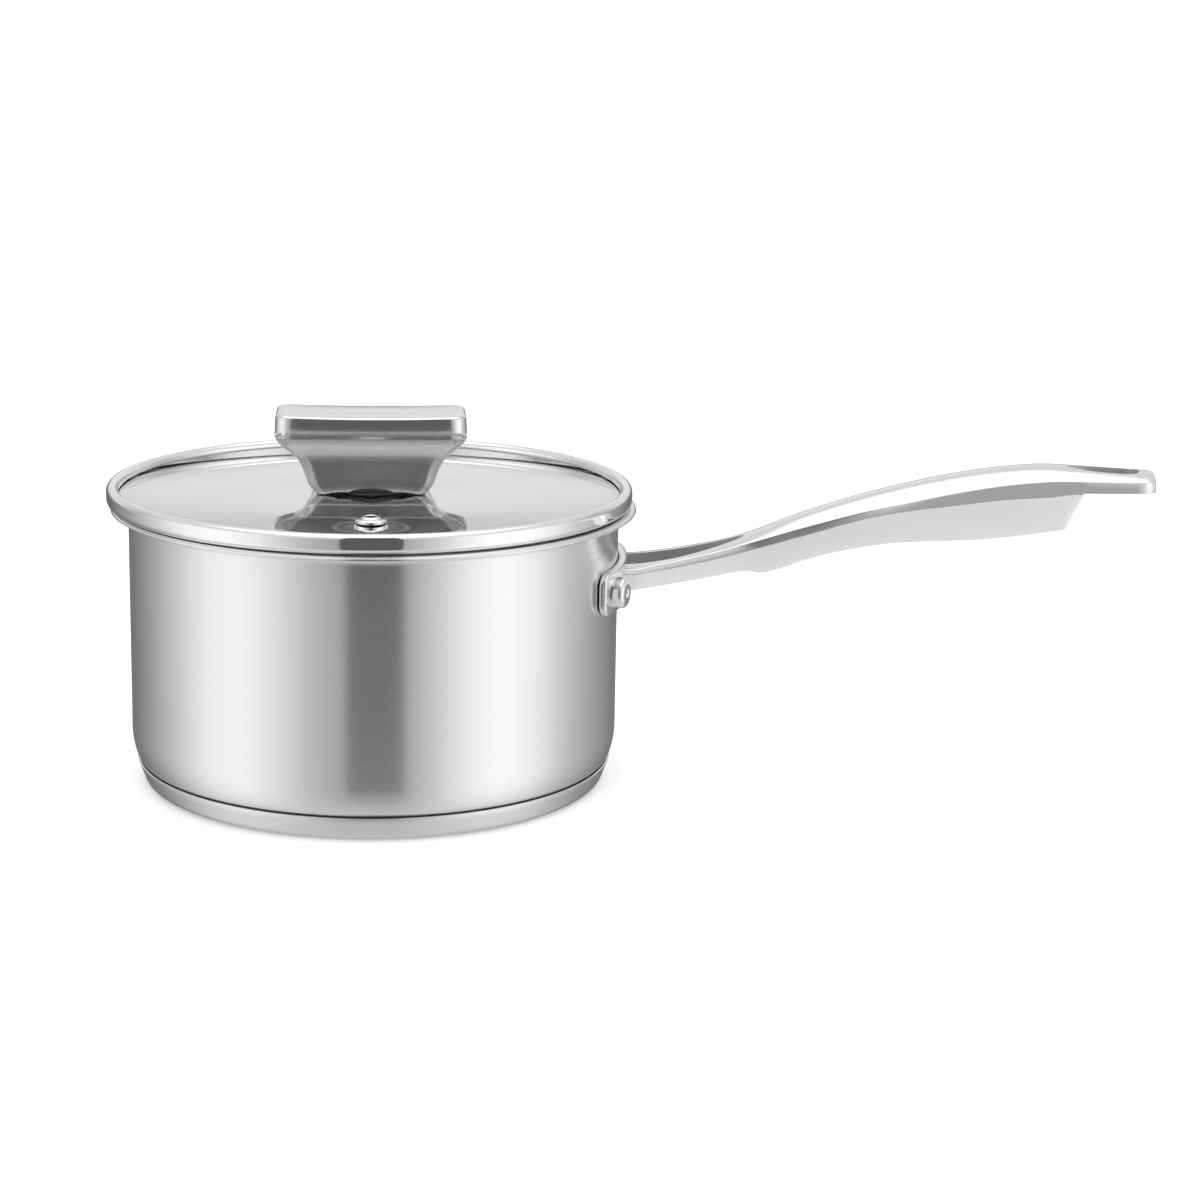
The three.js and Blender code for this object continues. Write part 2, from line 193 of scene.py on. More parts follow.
# One socket of a node tree, which can be used in sums
class Wire:
    def __init__(self, tree, socket):
        self.tree = tree
        self.socket = socket

    def maths(self, operation, first, second=0.0):
        return self.tree.node("ShaderNodeMath", {"operation": operation}, {0: first, 1: second})

    def __add__(self, other):
        return self.maths("ADD", self, other)

    def __sub__(self, other):
        return self.maths("SUBTRACT", self, other)

    def __mul__(self, other):
        return self.maths("MULTIPLY", self, other)

    def __truediv__(self, other):
        return self.maths("DIVIDE", self, other)

    def __pow__(self, other):
        return self.maths("POWER", self, other)

    def __rsub__(self, other):
        return self.maths("SUBTRACT", other, self)

    __radd__ = __add__
    __rmul__ = __mul__

    # 0 below the first value, 1 above the second, smooth between them
    def ramp(self, low, high):
        return self.tree.node("ShaderNodeMapRange", {"interpolation_type": "SMOOTHSTEP"},
                              {"Value": self, "From Min": low, "From Max": high})


# A node tree. Settings are set before values and links.
class Tree:
    def __init__(self, owner):
        owner.use_nodes = True
        self.nodes = owner.node_tree.nodes
        self.links = owner.node_tree.links
        self.nodes.clear()

    def node(self, kind, settings=None, values=None, out=0):
        made = self.nodes.new(kind)
        for setting, value in (settings or {}).items():
            if setting == "stops":
                self.setStops(made.color_ramp, value)
            else:
                setattr(made, setting, value)
        for key, value in (values or {}).items():
            if isinstance(value, Wire):
                self.links.new(value.socket, made.inputs[key])
            else:
                made.inputs[key].default_value = value
        return Wire(self, made.outputs[out]) if made.outputs else None

    def setStops(self, ramp, stops):
        while len(ramp.elements) < len(stops):
            ramp.elements.new(0.5)
        for element, (position, value) in zip(ramp.elements, stops):
            element.position = position
            element.color = tint(value)

    def combine(self, x, y, z):
        return self.node("ShaderNodeCombineXYZ", None, {0: x, 1: y, 2: z})

    def separate(self, vector):
        split = self.node("ShaderNodeSeparateXYZ", None, {0: vector}).socket.node
        return [Wire(self, output) for output in split.outputs]

    def noise(self, vector, scale, detail, roughness=0.5):
        return self.node("ShaderNodeTexNoise", None,
                         {"Vector": vector, "Scale": scale, "Detail": detail, "Roughness": roughness})

    def mixColour(self, factor, first, second):
        return self.node("ShaderNodeMix", {"data_type": "RGBA"}, {0: factor, 6: first, 7: second}, 2)

    def bump(self, height, distance, strength):
        return self.node("ShaderNodeBump", None,
                         {"Height": height, "Distance": distance, "Strength": strength})

    # in metres, from the object's own origin
    def ownPlace(self):
        return self.node("ShaderNodeTexCoord", None, None, 3)


# A grey, a little warmer if asked
def tint(value, warm=0.0):
    return (value * (1 + warm), value, value * (1 - warm), 1)


def newTree(name):
    material = bpy.data.materials.new(name)
    return material, Tree(material)


def surface(tree, values):
    shader = tree.node("ShaderNodeBsdfPrincipled", None, values)
    tree.node("ShaderNodeOutputMaterial", None, {"Surface": shader})


# Where a point is from the axis of a turned piece, and its distance from that axis
def roundPlaces(tree, centre):
    moved = tree.node("ShaderNodeMapping", None,
                      {"Vector": tree.ownPlace(), "Location": (-centre[0], -centre[1], 0)})
    x, y, z = tree.separate(moved)
    flat = tree.combine(x, y, 0.0)
    radius = tree.node("ShaderNodeVectorMath", {"operation": "LENGTH"}, {0: flat}, 1)
    return x, y, z, radius


# Steel brushed round its axis
def turnedSteel(name, tone, roughness, anisotropy, centre=(0, 0), grain=1.0, ringMarks=0.0):
    material, tree = newTree(name)
    x, y, z, radius = roundPlaces(tree, centre)
    across = z + radius  # up the wall, and out across the floor
    lines = tree.noise(tree.combine(x * 9.0, y * 9.0, across * 1500.0), 1.0, 2.0, 0.6)
    broad = tree.noise(tree.combine(x * 4.0, y * 4.0, across * 420.0), 1.0, 2.0, 0.6)
    cloud = tree.noise(tree.combine(x, y, z), 18.0, 3.0, 0.55)
    fleck = tree.noise(tree.combine(x * 60.0, y * 60.0, across * 4200.0), 1.0, 1.0, 0.5)
    scratch = fleck.ramp(0.70, 0.76)
    height = lines * 0.7 + broad * 0.4 - scratch * 0.5
    shade = (lines - 0.5) * (0.10 * grain) + (broad - 0.5) * (0.10 * grain) + 0.5
    colour = tree.mixColour(shade, tint(tone * 0.90, 0.003), tint(min(tone * 1.06, 1.0), 0.001))
    rough = roughness + (broad - 0.5) * (0.05 * grain) + (cloud - 0.5) * 0.03 + scratch * 0.03
    if ringMarks:
        marks = tree.node("ShaderNodeMath", {"operation": "SINE"}, {0: radius * 5200.0})
        height = height + marks * ringMarks
    surface(tree, {
        "Base Color": colour,
        "Metallic": 1.0,
        "Roughness": rough,
        "Anisotropic": anisotropy,
        "Anisotropic Rotation": 0.25,
        "Normal": tree.bump(height, 0.00001 * grain, 0.12),
    })
    return material


# Steel polished to a mirror, with hair scratches and faint hand marks
def polishedSteel(name, tone, roughness, wear=1.0):
    material, tree = newTree(name)
    own = tree.ownPlace()
    x, y, z = tree.separate(own)
    cloud = tree.noise(own, 38.0, 4.0, 0.6)
    waves = tree.noise(own, 95.0, 1.0, 0.4)
    hairs = tree.noise(tree.combine(x * 260.0, y * 1900.0, z * 1900.0), 1.0, 1.0, 0.5).ramp(0.66, 0.74)
    crossed = tree.noise(tree.combine(x * 1700.0, y * 240.0, z * 900.0), 1.0, 1.0, 0.5).ramp(0.68, 0.75)
    marks = cloud.ramp(0.52, 0.75)
    colour = tree.mixColour(marks * 0.5, tint(tone, 0.002), tint(tone * 0.95, 0.006))
    rough = roughness + marks * (0.07 * wear) + hairs * (0.05 * wear)
    height = waves * 0.6 - hairs * 0.10 - crossed * 0.08
    surface(tree, {
        "Base Color": colour,
        "Metallic": 1.0,
        "Roughness": rough,
        "Normal": tree.bump(height, 0.00005 * wear, 0.12),
    })
    return material


# Steel with a straight grain along X
def grainedSteel(name, tone, roughness, grain=1.0, metal=1.0):
    material, tree = newTree(name)
    own = tree.ownPlace()
    x, y, z = tree.separate(own)
    lines = tree.noise(tree.combine(x * 40.0, y * 1500.0, z * 1500.0), 1.0, 3.0, 0.6)
    broad = tree.noise(tree.combine(x * 14.0, y * 260.0, z * 260.0), 1.0, 2.0, 0.6)
    cloud = tree.noise(own, 30.0, 3.0, 0.5)
    shade = (lines - 0.5) * (0.5 * grain) + (broad - 0.5) * (0.4 * grain) + 0.5
    colour = tree.mixColour(shade, tint(tone * 0.93, 0.003), tint(min(tone * 1.05, 1.0), 0.001))
    rough = roughness + (broad - 0.5) * (0.16 * grain) + (cloud - 0.5) * 0.08
    surface(tree, {
        "Base Color": colour,
        "Metallic": metal,
        "Roughness": rough,
        "Normal": tree.bump(lines * 0.7 + broad * 0.4, 0.00004 * grain, 0.3),
    })
    return material


# Rolled or cast aluminium, and steel left rough from the forge
def castAluminium(name, tone):
    material, tree = newTree(name)
    own = tree.ownPlace()
    x, y, z = tree.separate(own)
    rolled = tree.noise(tree.combine(x * 60.0, y * 900.0, z * 900.0), 1.0, 3.0, 0.6)
    pits = tree.noise(own, 900.0, 2.0, 0.5)
    colour = tree.mixColour(rolled, tint(tone * 0.88, 0.002), tint(tone, 0.0))
    surface(tree, {
        "Base Color": colour,
        "Metallic": 1.0,
        "Roughness": 0.42 + (pits - 0.5) * 0.3,
        "Normal": tree.bump(rolled * 0.6 + pits * 0.4, 0.00006, 0.4),
    })
    return material


def mouldedSilicone(name, tone):
    material, tree = newTree(name)
    own = tree.ownPlace()
    cloud = tree.noise(own, 120.0, 3.0, 0.6)
    grit = tree.noise(own, 2600.0, 1.0, 0.5)
    colour = tree.mixColour(cloud, tint(tone * 0.8), tint(tone * 1.25))
    surface(tree, {
        "Base Color": colour,
        "Roughness": 0.55 + (cloud - 0.5) * 0.2 + (grit - 0.5) * 0.1,
        "Specular IOR Level": 0.35,
        "Normal": tree.bump(grit, 0.00003, 0.4),
    })
    return material


# Clear toughened glass: it mirrors more the flatter it is looked across
def toughenedGlass(name, clear, mirror, facing):
    material, tree = newTree(name)
    own = tree.ownPlace()
    film = tree.noise(own, 26.0, 3.0, 0.55)
    specks = tree.noise(own, 1500.0, 1.0, 0.5).ramp(0.74, 0.78)
    glance = tree.node("ShaderNodeLayerWeight", None, {"Blend": 0.5}, 1)
    share = mirror + facing * glance ** 2.0
    gloss = tree.node("ShaderNodeBsdfPrincipled", None, {
        "Base Color": tint(0.93),
        "Metallic": 1.0,
        "Roughness": 0.012 + film.ramp(0.5, 0.8) * 0.03 + specks * 0.05,
        "Normal": tree.bump(tree.noise(own, 14.0, 1.0, 0.4), 0.00012, 0.05),
    })
    clearPane = tree.node("ShaderNodeBsdfTransparent", None, {"Color": clear})
    mixed = tree.node("ShaderNodeMixShader", None, {0: share, 1: clearPane, 2: gloss})
    tree.node("ShaderNodeOutputMaterial", None, {"Surface": mixed})
    return material


panSize = {
    "radius": 91.0,  # outside of the straight wall
    "sheet": 0.9,
    "wallTop": 99.9,  # where the wall starts to flare
    "flare": 4.2,
    "lipFlat": 1.2,
    "lipRoll": 1.1,
    "sideStart": 20.8,  # the wall is straight above this height
    "sideCurve": 28.0,  # slow curve at the foot of the wall
    "corner": 5.0,  # tight curve into the floor
    "lean": 20.0,  # degrees, where one curve passes into the other
    "floorRings": (20, 50),  # plain rings of faces across the floor and up the wall
    "wallRings": (45, 75),
    "edge": 0.25,
}


def makePanShell(finish):
    size = panSize
    half = size["sheet"] / 2
    lean = math.radians(size["lean"])
    reach = size["sideCurve"] - size["corner"]
    sideCentre = (size["radius"] - size["sideCurve"], size["sideStart"])
    corner = (sideCentre[0] + reach * math.cos(lean), sideCentre[1] - reach * math.sin(lean))
    floor = corner[1] - size["corner"] + half
    wall = size["radius"] - half
    flareCentre = wall + size["flare"]
    lipCentre = (flareCentre + size["lipFlat"], size["wallTop"] + size["flare"] - size["lipRoll"])
    line = [
        (0, floor), *((ring, floor) for ring in size["floorRings"]),
        (corner[0] - 4, floor), (corner[0] - 1, floor),
        *arc(*corner, size["corner"] - half, -90, -size["lean"], 10),
        *arc(*sideCentre, size["sideCurve"] - half, -size["lean"], 0, 10)[1:],
        (wall, size["sideStart"] + 1.5), *((wall, ring) for ring in size["wallRings"]),
        (wall, size["wallTop"] - 1.5),
        *arc(flareCentre, size["wallTop"], size["flare"], 180, 90, 12),
        *arc(*lipCentre, size["lipRoll"], 90, 0, 6),
    ]
    bm = sheetPiece(line, size["sheet"])
    roundOff(bm, size["edge"], 3)
    finishPiece(bm, "pan_shell_piece", "pan", [finish])


capSize = {
    "sheet": 0.8,
    "cornerRadius": 83.4,
    "corner": 3.6,
    "top": 8.8,
    "lean": 20.0,
    "rings": (12.0, 30.0, 46.0, 62.0),  # steps turned into the underside
    "ringDepth": 0.25,
    "ringSlope": 0.4,
    "floorRings": (70, 82),
    "skirtShares": (0.3, 0.65, 1.0),  # of the height from the corner to the top
    "edge": 0.2,
}


def makeBaseCap(finish):
    size = capSize
    half = size["sheet"] / 2
    bend = arc(size["cornerRadius"], size["corner"], size["corner"] - half, -90, -size["lean"], 10)
    endR, endZ = bend[-1]
    slope = math.tan(math.radians(size["lean"]))
    line = [(0, half + size["ringDepth"])]
    for i, ring in enumerate(size["rings"]):
        before, after = (size["ringDepth"], 0) if i % 2 == 0 else (0, size["ringDepth"])
        line += [(ring - size["ringSlope"], half + before), (ring + size["ringSlope"], half + after)]
    line += [*((ring, half) for ring in size["floorRings"]), *bend]
    for share in size["skirtShares"]:
        rise = (size["top"] - endZ) * share
        line.append((endR + rise * slope, endZ + rise))
    bm = sheetPiece(line, size["sheet"])
    roundOff(bm, size["edge"], 2)
    finishPiece(bm, "base_cap_piece", "pan", [finish])


rivetSize = {
    "angle": 18.0,  # degrees to each side of the handle
    "height": 77.8,
    "innerFace": 89.5,  # the inner head rests on the inside of the wall
    "innerHead": 5.55,
    "innerHeight": 1.6,
    "innerRound": 1.66,
    "headBase": 94.2,
    "shank": 2.6,
    "head": 5.8,
    "headSide": 2.6,
    "headRound": 2.1,
    "dimple": 2.4,  # the punch mark in the middle of the head
    "dimpleRound": 0.8,
    "dimpleDepth": 1.34,
}


def makeRivet(name, side, finish):
    size = rivetSize
    inner, base, dimple = size["innerFace"], size["headBase"], size["dimple"]
    headSide = base + size["headSide"]
    face = headSide + size["headRound"] + 0.02
    floor = face - size["dimpleDepth"]
    section = [
        (0, inner - size["innerHeight"]), (size["shank"], inner - size["innerHeight"] + 0.02),
        *arc(size["innerHead"] - 1.65, inner + 0.1, size["innerRound"], -90, -20, 6),
        (size["innerHead"], inner - 0.1), (size["innerHead"] - 0.1, inner),
        (size["shank"], inner), (size["shank"], base),
        (size["head"], base), (size["head"], headSide),
        *arc(size["head"] - size["headRound"], headSide, size["headRound"], 0, 90, 10),
        (dimple, face), *arc(dimple - 0.2, face - 0.82, size["dimpleRound"], 90, 180, 5),
        (dimple - 1.3, floor + 0.17), (dimple - 1.8, floor + 0.02), (0, floor),
    ]
    bm = solidPiece(section)
    turn = Matrix.Rotation(side * math.radians(size["angle"]), 4, "Z") @ Matrix.Rotation(math.pi / 2, 4, "Y")
    place(bm, Matrix.Translation((0, 0, size["height"])) @ turn)
    finishPiece(bm, name + "_piece", "pan", [finish], 40)


rimSize = {
    "sheet": 0.7,
    "lipRadius": 88.0,  # middle of the sheet of the lip inside the pan
    "lipBend": 1.3,
    "radius": 97.1,  # middle of the sheet of the outer band
    "bend": 2.3,
    "bead": 1.95,
    "underGlass": 0.3,  # room for the seat under the glass, and over it at the bead's end
    "edge": 0.2,
}


def makeRim(finish):
    size = rimSize
    half = size["sheet"] / 2
    web = glassLow.z - size["underGlass"] - half
    bead = rimHigh.z - half - size["bead"]
    beadMiddle = size["radius"] - size["bead"]
    line = [
        (size["lipRadius"], rimLow.z), (size["lipRadius"], rimLow.z + 1.2),
        *arc(size["lipRadius"] + size["lipBend"], web - size["lipBend"], size["lipBend"], 180, 90, 6),
        (size["lipRadius"] + 4, web), (size["radius"] - size["bend"] - 0.8, web),
        *arc(size["radius"] - size["bend"], web + size["bend"], size["bend"], -90, 0, 8),
        (size["radius"], web + size["bend"] + 0.5), (size["radius"], bead - 0.5),
        *arc(beadMiddle, bead, size["bead"], 0, 180, 18),
        (beadMiddle - size["bead"], glassHigh.z + size["underGlass"]),
    ]
    bm = sheetPiece(line, size["sheet"])
    roundOff(bm, size["edge"], 2)
    place(bm, lidPlace)
    finishPiece(bm, "lid_rim_piece", "lid", [finish])


glassSize = {"radius": 95.6, "edge": 0.5, "middleHole": 3.5, "ventHole": 4.2}


# A disc with a hole for the screw and one for the vent, filled flat, then given its thickness
def makeGlass(finish):
    size = glassSize
    bm = bmesh.new()
    for radius, away, steps in ((size["radius"], 0, roundSteps), (size["middleHole"], 0, smallSteps),
                                (size["ventHole"], ventDistance, smallSteps)):
        bmesh.ops.create_circle(bm, cap_ends=False, segments=steps, radius=radius,
                                matrix=Matrix.Translation((0, -away, glassLow.z)))
    bmesh.ops.triangle_fill(bm, edges=bm.edges[:], use_beauty=True, use_dissolve=False, normal=(0, 0, 1))
    bmesh.ops.recalc_face_normals(bm, faces=bm.faces[:])
    upper = vertsIn(bmesh.ops.extrude_face_region(bm, geom=bm.faces[:])["geom"])
    bmesh.ops.translate(bm, vec=(0, 0, glassHigh.z - glassLow.z), verts=upper)
    bmesh.ops.recalc_face_normals(bm, faces=bm.faces[:])
    roundOff(bm, size["edge"], 3)
    place(bm, lidPlace)
    finishPiece(bm, "lid_glass_piece", "lid", [finish])


ventSize = {
    "bore": 2.2,
    "tube": 3.0,
    "flange": 5.8,
    "collar": 3.4,
    "foot": 5.0,
    "footHeight": 0.6,
    "collarHeight": 1.2,
    "overGlass": 0.15,
    "skirt": 0.5,
}
bushSize = {"bore": 3.3, "neck": 3.9, "flange": 5.2, "flangeHeight": 0.5, "edge": 0.12}


def makeVent(steel, silicone):
    size = ventSize
    low, high = ventLow.z, ventHigh.z
    face = high - size["collarHeight"]
    bore, tube, flange, collar = size["bore"], size["tube"], size["flange"], size["collar"]
    footTop, seat = low + size["footHeight"], glassHigh.z + size["overGlass"]
    bm = ringPiece([
        (bore, low), (size["foot"], low), (size["foot"], footTop), (tube, footTop),
        (tube, face), (flange - size["skirt"], face), (flange - size["skirt"], seat),
        (flange, seat), (flange - 0.05, face), (flange - 0.5, face + 0.4),
        (collar + 0.5, face + 0.5), (collar + 0.1, face + 0.65), (collar - 0.1, face + 0.95),
        (collar - 0.4, high - 0.05), (collar - 0.7, high), (bore + 0.25, high - 0.02), (bore, high - 0.3),
    ])
    place(bm, ventPlace)
    finishPiece(bm, "vent_eyelet_piece", "lid", [steel], 40)
    bushLow, bushHigh = cadBox("vent_bush")
    bore, neck, flange = bushSize["bore"], bushSize["neck"], bushSize["flange"]
    seat = bushHigh.z - bushSize["flangeHeight"]
    bm = ringPiece([
        (bore, bushLow.z), (neck, bushLow.z), (neck, seat),
        (flange, seat), (flange, bushHigh.z), (bore, bushHigh.z),
    ])
    roundOff(bm, bushSize["edge"], 2)
    place(bm, ventPlace)
    finishPiece(bm, "vent_bush_piece", "lid", [silicone])


ringSizes = {
    "knob_gasket": {"bore": 3.1, "radius": 12.7, "edge": 0.2, "slot": "silicone"},
    "lower_gasket": {"bore": 3.1, "radius": 8.5, "edge": 0.3, "slot": "silicone"},
    "screw_washer": {"bore": 3.1, "radius": 8.0, "edge": 0.2, "slot": "fastener_steel"},
}


def makeRings(finishes):
    for name, size in ringSizes.items():
        low, high = cadBox(name)
        bm = ringPiece([(size["bore"], low.z), (size["radius"], low.z),
                        (size["radius"], high.z), (size["bore"], high.z)])
        roundOff(bm, size["edge"], 3)
        place(bm, lidPlace)
        finishPiece(bm, name + "_piece", "lid", [finishes[size["slot"]]])


bossSize = {"radius": 5.5, "hole": 2.8, "chamfer": 0.4, "drill": 0.6, "edge": 0.1}
screwSize = {
    "radius": 2.5,
    "head": 5.0,
    "headHeight": 2.4,
    "headRound": 1.8,
    "recess": 1.9,
    "recessDepth": 0.9,
    "threadDepth": 0.3,
    "turns": 28,  # half turns of the thread
}


def makeBossAndScrew(finish):
    size = bossSize
    low, high = cadBox("knob_boss")
    drillEnd = cadBox("knob_screw")[1].z + size["drill"]
    bm = solidPiece([
        (0, drillEnd + size["drill"]), (size["hole"], drillEnd), (size["hole"], low.z),
        (size["radius"] - size["chamfer"], low.z), (size["radius"], low.z + size["chamfer"]),
        (size["radius"], high.z), (0, high.z),
    ])
    roundOff(bm, size["edge"], 2)
    place(bm, lidPlace)
    finishPiece(bm, "knob_boss_piece", "lid", [finish])
    size = screwSize
    low, high = cadBox("knob_screw")
    headTop, recessTop = low.z + size["headHeight"], low.z + size["recessDepth"]
    arcCentre = size["head"] - size["headRound"]
    section = [(0, recessTop), (size["recess"] - 0.3, recessTop), (size["recess"], low.z), (arcCentre, low.z),
               *arc(arcCentre, headTop - 0.6, size["headRound"], -90, 0, 8),
               (size["head"], headTop), (size["radius"], headTop)]
    for i, z in enumerate(evenly(headTop + 3, high.z - 1, size["turns"])):
        section.append((size["radius"] - (size["threadDepth"] if i % 2 else 0), z))
    section += [(size["radius"] - 2 * size["threadDepth"], high.z), (0, high.z)]
    bm = solidPiece(section)
    place(bm, lidPlace)
    finishPiece(bm, "knob_screw_piece", "lid", [finish])


knobSize = {
    "corner": 6.0,  # rounding of the outline seen from above
    "plateBottom": 130.5,
    "lean": 0.45,  # the plate narrows by this much towards its top
    "dip": 0.8,  # hollow along the top
    "edge": 1.3,
    "footEdge": 0.25,
    "wall": 1.8,
    "hollow": 12.0,
    "arch": 0.75,  # the ends of the foot reach down past the gasket
    "archHalf": 12.8,
    "archEnd": 4.0,
    # height, half length, half depth
    "stations": [(130.5, 35.4, 15.0), (128.6, 34.5, 14.2), (125.3, 31.2, 12.4), (122.3, 27.6, 11.2),
                 (117.0, 24.8, 10.6), (111.3, 22.6, 10.2), (109.8, 20.2, 9.6)],
}


# Pulls one face off its piece, with new sides behind it
def growFace(bm, face):
    grown = bmesh.ops.extrude_face_region(bm, geom=[face])["geom"]
    bmesh.ops.delete(bm, geom=[face], context="FACES_ONLY")
    face = [item for item in grown if isinstance(item, bmesh.types.BMFace)][0]
    return face, vertsIn(grown)


# The knob grows downwards from its top face, one loop at a time.
# Then its inside is hollowed, its top is dished and its foot is arched.
def makeKnob(finish):
    size = knobSize
    low, high = cadBox("knob")
    top = high.z
    stations = sorted(size["stations"])
    halfLength = through([(z, a) for z, a, b in stations])
    halfDepth = through([(z, b) for z, a, b in stations])
    length = halfLength(size["plateBottom"]) - size["lean"]
    depth = halfDepth(size["plateBottom"]) - size["lean"]
    bm = bmesh.new()
    bmesh.ops.create_grid(bm, x_segments=1, y_segments=1, size=1)
    place(bm, Matrix.Translation((0, 0, top)) @ Matrix.Diagonal((length, depth, 1, 1)))
    roundCorners(bm, size["corner"], 10)
    bm.faces.ensure_lookup_table()
    face = bm.faces[0]
    heights = [size["plateBottom"], size["plateBottom"] - 0.25]
    heights += evenly(129.9, low.z + 1.2, 16) + [low.z + 1.2, low.z + 0.5, low.z]
    wasLength, wasDepth, wasHeight = length, depth, top
    for height in heights:
        nowLength, nowDepth = halfLength(height), halfDepth(height)
        face, verts = growFace(bm, face)
        if wasHeight == top:
            lid = [vert for vert in bm.verts if vert.co.z > top - 0.01 and vert not in verts]
            bmesh.ops.contextual_create(bm, geom=lid)
        bmesh.ops.scale(bm, vec=(nowLength / wasLength, nowDepth / wasDepth, 1), verts=verts)
        bmesh.ops.translate(bm, vec=(0, 0, height - wasHeight), verts=verts)
        wasLength, wasDepth, wasHeight = nowLength, nowDepth, height
    bmesh.ops.inset_region(bm, faces=[face], thickness=size["wall"], use_even_offset=True)
    face, verts = growFace(bm, face)
    bmesh.ops.translate(bm, vec=(0, 0, size["hollow"]), verts=verts)
    bmesh.ops.remove_doubles(bm, verts=bm.verts[:], dist=0.001)
    bmesh.ops.recalc_face_normals(bm, faces=bm.faces[:])
    rimEdges = [e for e in sharpEdges(bm, 50) if min(v.co.z for v in e.verts) > top - 0.01]
    roundOff(bm, size["edge"], 6, chosen=rimEdges)
    for x in evenly(-length + 3, length - 3, 22):
        cutAcross(bm, (x, 0, 0), (1, 0, 0))
    for y in evenly(-depth + 1.2, depth - 1.2, 12):
        cutAcross(bm, (0, y, 0), (0, 1, 0))
    for vert in bm.verts:
        share = min(max((vert.co.z - (top - 3)) / 3, 0), 1)
        dish = (1 - (vert.co.x / length) ** 2) * (vert.co.y / depth) ** 2
        vert.co.z -= share * size["dip"] * dish
        if vert.co.z < low.z + 0.6:
            share = min(max((abs(vert.co.x) - size["archHalf"]) / size["archEnd"], 0), 1)
            vert.co.z -= size["arch"] * share * share * (3 - 2 * share)
    roundOff(bm, size["footEdge"], 2, 70)
    bmesh.ops.dissolve_degenerate(bm, dist=0.06, edges=bm.edges[:])
    place(bm, lidPlace)
    finishPiece(bm, "knob_piece", "lid", [finish], 40)


handleSize = {
    # distance from the pan's axis, value
    "ridge": [(92, 84.1), (100, 84.7), (115, 87.1), (137, 93.3), (160, 102.7), (189, 111.9),
              (219, 118.8), (245, 122.1), (262, 121.8), (292, 120.1)],
    "shoulder": [(92, 83.3), (99, 83.6), (129, 89.7), (158, 98.3), (180, 104.7), (195, 108.2),
                 (213, 112.4), (232, 115.9), (250, 117.8), (262, 118.0), (292, 117.8)],
    "crease": [(92, 81.4), (99, 81.6), (129, 87.2), (158, 95.4), (180, 102.2), (195, 105.6),
               (213, 108.1), (232, 110.7), (250, 112.1), (261, 113.4), (292, 114.2)],
    "underside": [(92, 75), (99, 75.5), (121, 78.8), (138.5, 81.8), (144.5, 81), (151, 82.7), (166, 88),
                  (188, 92.7), (203, 94.1), (225, 95.3), (240, 97), (257, 99.5)],
    "halfWidth": [(92, 16.8), (99, 15.7), (107, 14), (122, 11.8), (137, 10.2), (150, 10.2), (175, 11),
                  (200, 12), (230, 12.4), (262, 12.4), (283, 12), (287.5, 11), (290.3, 8.5)],
    "start": 92.6,
    "tip": 290.25,
    "tipStations": (286.4, 287.5, 288.5, 289.5),
    "skirtEnd": 256.8,
    "skirtEndTop": 262.8,
    "tangBottom": 113.6,
    "leastSide": 1.3,  # height of the sides at the tip, below the crease
    "skirtWall": 2.2,
    "hollow": (152, 254),
    "hollowShare": 0.89,  # of the half width
    "slotEnd": 138.0,
    "slotEndRadius": 2.6,
    "slot": [(92, 9.35), (100, 9.1), (108, 8.5), (118, 6.9), (128, 4.6), (136, 2.5), (140, 1.5)],
    "eye": (258.0, 285.3),
    "eyeMiddles": (273.3, 279.3),
    "eyeHalfWidth": 6.0,
    "holeEndFlat": 0.9,
    "shoulderLean": 0.9,
    "crown": 2.6,  # a higher power is flatter in the middle
    "draft": 1.9,  # how far a tall side curves in
    "tallSide": 12.0,
    "sideCuts": 4,
    "spread": 0.6,  # opens the crowded outer rows on the underside
    "rowShares": [0, 0.14, 0.28, 0.42, 0.55, 0.67, 0.78, 0.88, 1],  # from the slot or eye to the shoulder
    "stationGap": 0.45,
    "edge": 0.25,
    "edgeSharper": 18,  # degrees
}

flangeSize = {
    "inner": 91.3,
    "thickness": 3.0,
    "bottom": 69.8,
    "top": 86.0,
    "halfWidth": 38.4,
    "corner": 5.0,
    "bentHalf": 31,  # cut into strips this far to each side, so that it bends round the pan
    "edge": 1.1,
}


# A rounded plate, bent to the pan and thickened
def makeFlange(bm):
    size = flangeSize
    middle = (size["bottom"] + size["top"]) / 2
    tall = (size["top"] - size["bottom"]) / 2
    bmesh.ops.create_grid(bm, x_segments=1, y_segments=1, size=1)
    upright = Matrix.Translation((0, 0, middle)) @ Matrix.Rotation(math.pi / 2, 4, "Y")
    place(bm, upright @ Matrix.Diagonal((tall, size["halfWidth"], 1, 1)))
    roundCorners(bm, size["corner"], 8)
    bent = size["bentHalf"]
    for y in evenly(-bent, bent, 24) + [bent]:
        cutAcross(bm, (0, y, 0), (0, 1, 0))
    outer = set(vertsIn(bmesh.ops.extrude_face_region(bm, geom=bm.faces[:])["geom"]))
    for vert in bm.verts:
        radius = size["inner"] + (size["thickness"] if vert in outer else 0)
        angle = math.asin(vert.co.y / (size["inner"] + size["thickness"] / 2))
        vert.co.x = radius * math.cos(angle)
        vert.co.y = radius * math.sin(angle)
    bmesh.ops.recalc_face_normals(bm, faces=bm.faces[:])
    roundOff(bm, size["edge"], 4, clamp=False)


ridge, shoulder, crease = (through(handleSize[name]) for name in ("ridge", "shoulder", "crease"))
underside, halfWidth, slotHalf = (through(handleSize[name]) for name in ("underside", "halfWidth", "slot"))


# The part of a round end that is left when it has narrowed to a short flat
def roundShare(radius):
    return math.sqrt(1 - (handleSize["holeEndFlat"] / radius) ** 2)


